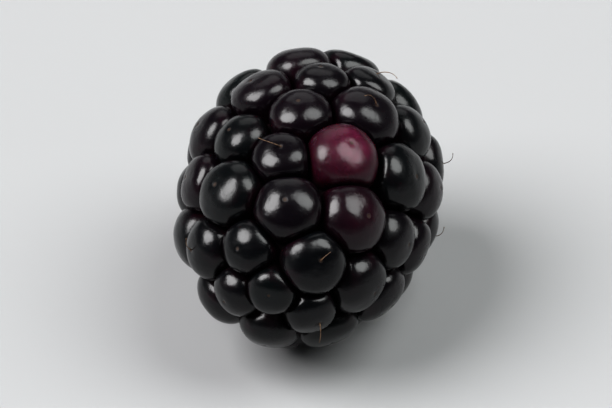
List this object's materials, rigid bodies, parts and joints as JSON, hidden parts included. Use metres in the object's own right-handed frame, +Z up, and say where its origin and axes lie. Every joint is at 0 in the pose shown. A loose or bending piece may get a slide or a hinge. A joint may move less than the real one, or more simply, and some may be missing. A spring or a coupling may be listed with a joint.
{
  "type": "bramble berry",
  "caption": "Picked bramble berry lying on its side: an egg-shaped head of round drupelets pressed together, with the pale end of its receptacle at the stem end.",
  "frame": {"origin": "under the middle of the berry, on the surface that it lies on", "axes": "+Z up, +Y along the berry towards its stem end, so its tip points to -Y, and +X to the side"},
  "size_m": [0.02, 0.0252, 0.0199],
  "materials": {
    "skin": "satin",
    "pith": "matte"
  },
  "bodies": {
    "root": {"drupelets": "skin", "receptacle": "pith"}
  },
  "joints": []
}
